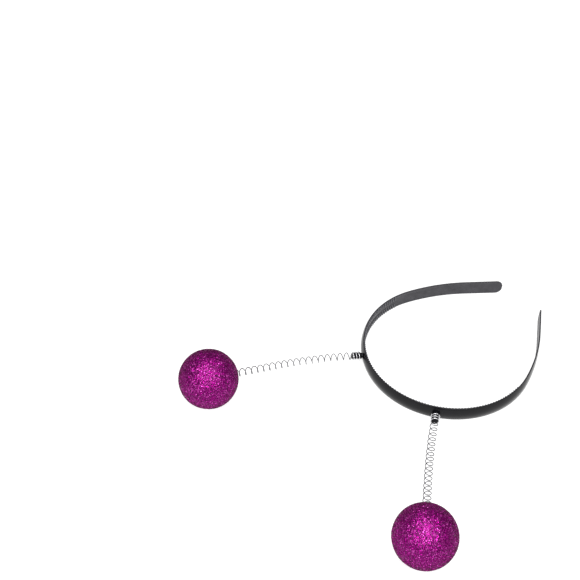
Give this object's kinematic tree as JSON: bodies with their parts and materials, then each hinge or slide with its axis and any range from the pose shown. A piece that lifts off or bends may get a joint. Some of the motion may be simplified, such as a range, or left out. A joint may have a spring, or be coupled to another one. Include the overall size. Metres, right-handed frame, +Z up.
{
  "type": "head bopper headband",
  "caption": "C-shaped plastic headband with comb teeth inside and a glitter ball bobbing on a thin wire spring at each side of the crown.",
  "frame": {"origin": "the lower edge of the headband at its crown, on the table that the headband lies on", "axes": "+Z up off the table, across the width of the band; +Y from the crown towards the open tips; +X towards the right arm, seen from above with the tips at the top"},
  "size_m": [0.2239, 0.2592, 0.041],
  "materials": {
    "band": "black injection moulded plastic, glossy outside and satin inside",
    "stud": "black moulded plastic",
    "spring_wire": "bright thin steel wire",
    "foam": "white expanded polystyrene foam, hidden by the glitter",
    "glitter": "magenta purple glitter flakes in clear glue",
    "glue": "translucent hot melt glue, inside the ball"
  },
  "bodies": {
    "left_band_half": {"headband_left_half": "band", "left_stud": "stud"},
    "right_band_half": {"headband_right_half": "band", "right_stud": "stud"},
    "left_spring_root": {"left_spring_inner": "spring_wire"},
    "left_spring_end": {"left_spring_outer": "spring_wire"},
    "left_ball": {"left_foam_core": "foam", "left_glitter_crust": "glitter", "left_glue_plug": "glue"},
    "right_spring_root": {"right_spring_inner": "spring_wire"},
    "right_spring_end": {"right_spring_outer": "spring_wire"},
    "right_ball": {"right_foam_core": "foam", "right_glitter_crust": "glitter", "right_glue_plug": "glue"}
  },
  "joints": [
    {"name": "headband_flex", "type": "hinge", "parent": "left_band_half", "child": "right_band_half", "pos_m": [0, -0.00115, 0.0054], "axis": [0, 0, -1], "range_deg": [0, 21], "stiffness_Nm_per_rad": 0.4},
    {"name": "left_sway", "type": "hinge", "parent": "left_band_half", "child": "left_spring_root", "pos_m": [-0.04506, -0.00313, 0.00557], "axis": [0, 0, 1], "range_deg": [-50, 20], "stiffness_Nm_per_rad": 0.003, "deforming": ["left_spring_inner"]},
    {"name": "left_nod", "type": "hinge", "parent": "left_spring_root", "child": "left_spring_end", "pos_m": [-0.05729, -0.02815, 0.00808], "axis": [-0.9582, 0.286, 0], "range_deg": [0, 60], "stiffness_Nm_per_rad": 0.003, "deforming": ["left_spring_inner", "left_spring_outer"]},
    {"name": "left_stretch", "type": "slide", "parent": "left_spring_end", "child": "left_ball", "axis": [-0.286, -0.9582, 0], "range_m": [-0.012, 0.015], "stiffness_N_per_m": 400, "deforming": ["left_spring_outer"]},
    {"name": "right_sway", "type": "hinge", "parent": "right_band_half", "child": "right_spring_root", "pos_m": [0.04537, -0.00292, 0.00556], "axis": [0, 0, 1], "range_deg": [-40, 30], "stiffness_Nm_per_rad": 0.003, "deforming": ["right_spring_inner"]},
    {"name": "right_nod", "type": "hinge", "parent": "right_spring_root", "child": "right_spring_end", "pos_m": [0.06239, -0.025, 0.00809], "axis": [-0.7687, -0.6396, 0], "range_deg": [0, 60], "stiffness_Nm_per_rad": 0.003, "deforming": ["right_spring_inner", "right_spring_outer"]},
    {"name": "right_stretch", "type": "slide", "parent": "right_spring_end", "child": "right_ball", "axis": [0.6396, -0.7687, 0], "range_m": [-0.012, 0.015], "stiffness_N_per_m": 400, "deforming": ["right_spring_outer"]}
  ]
}
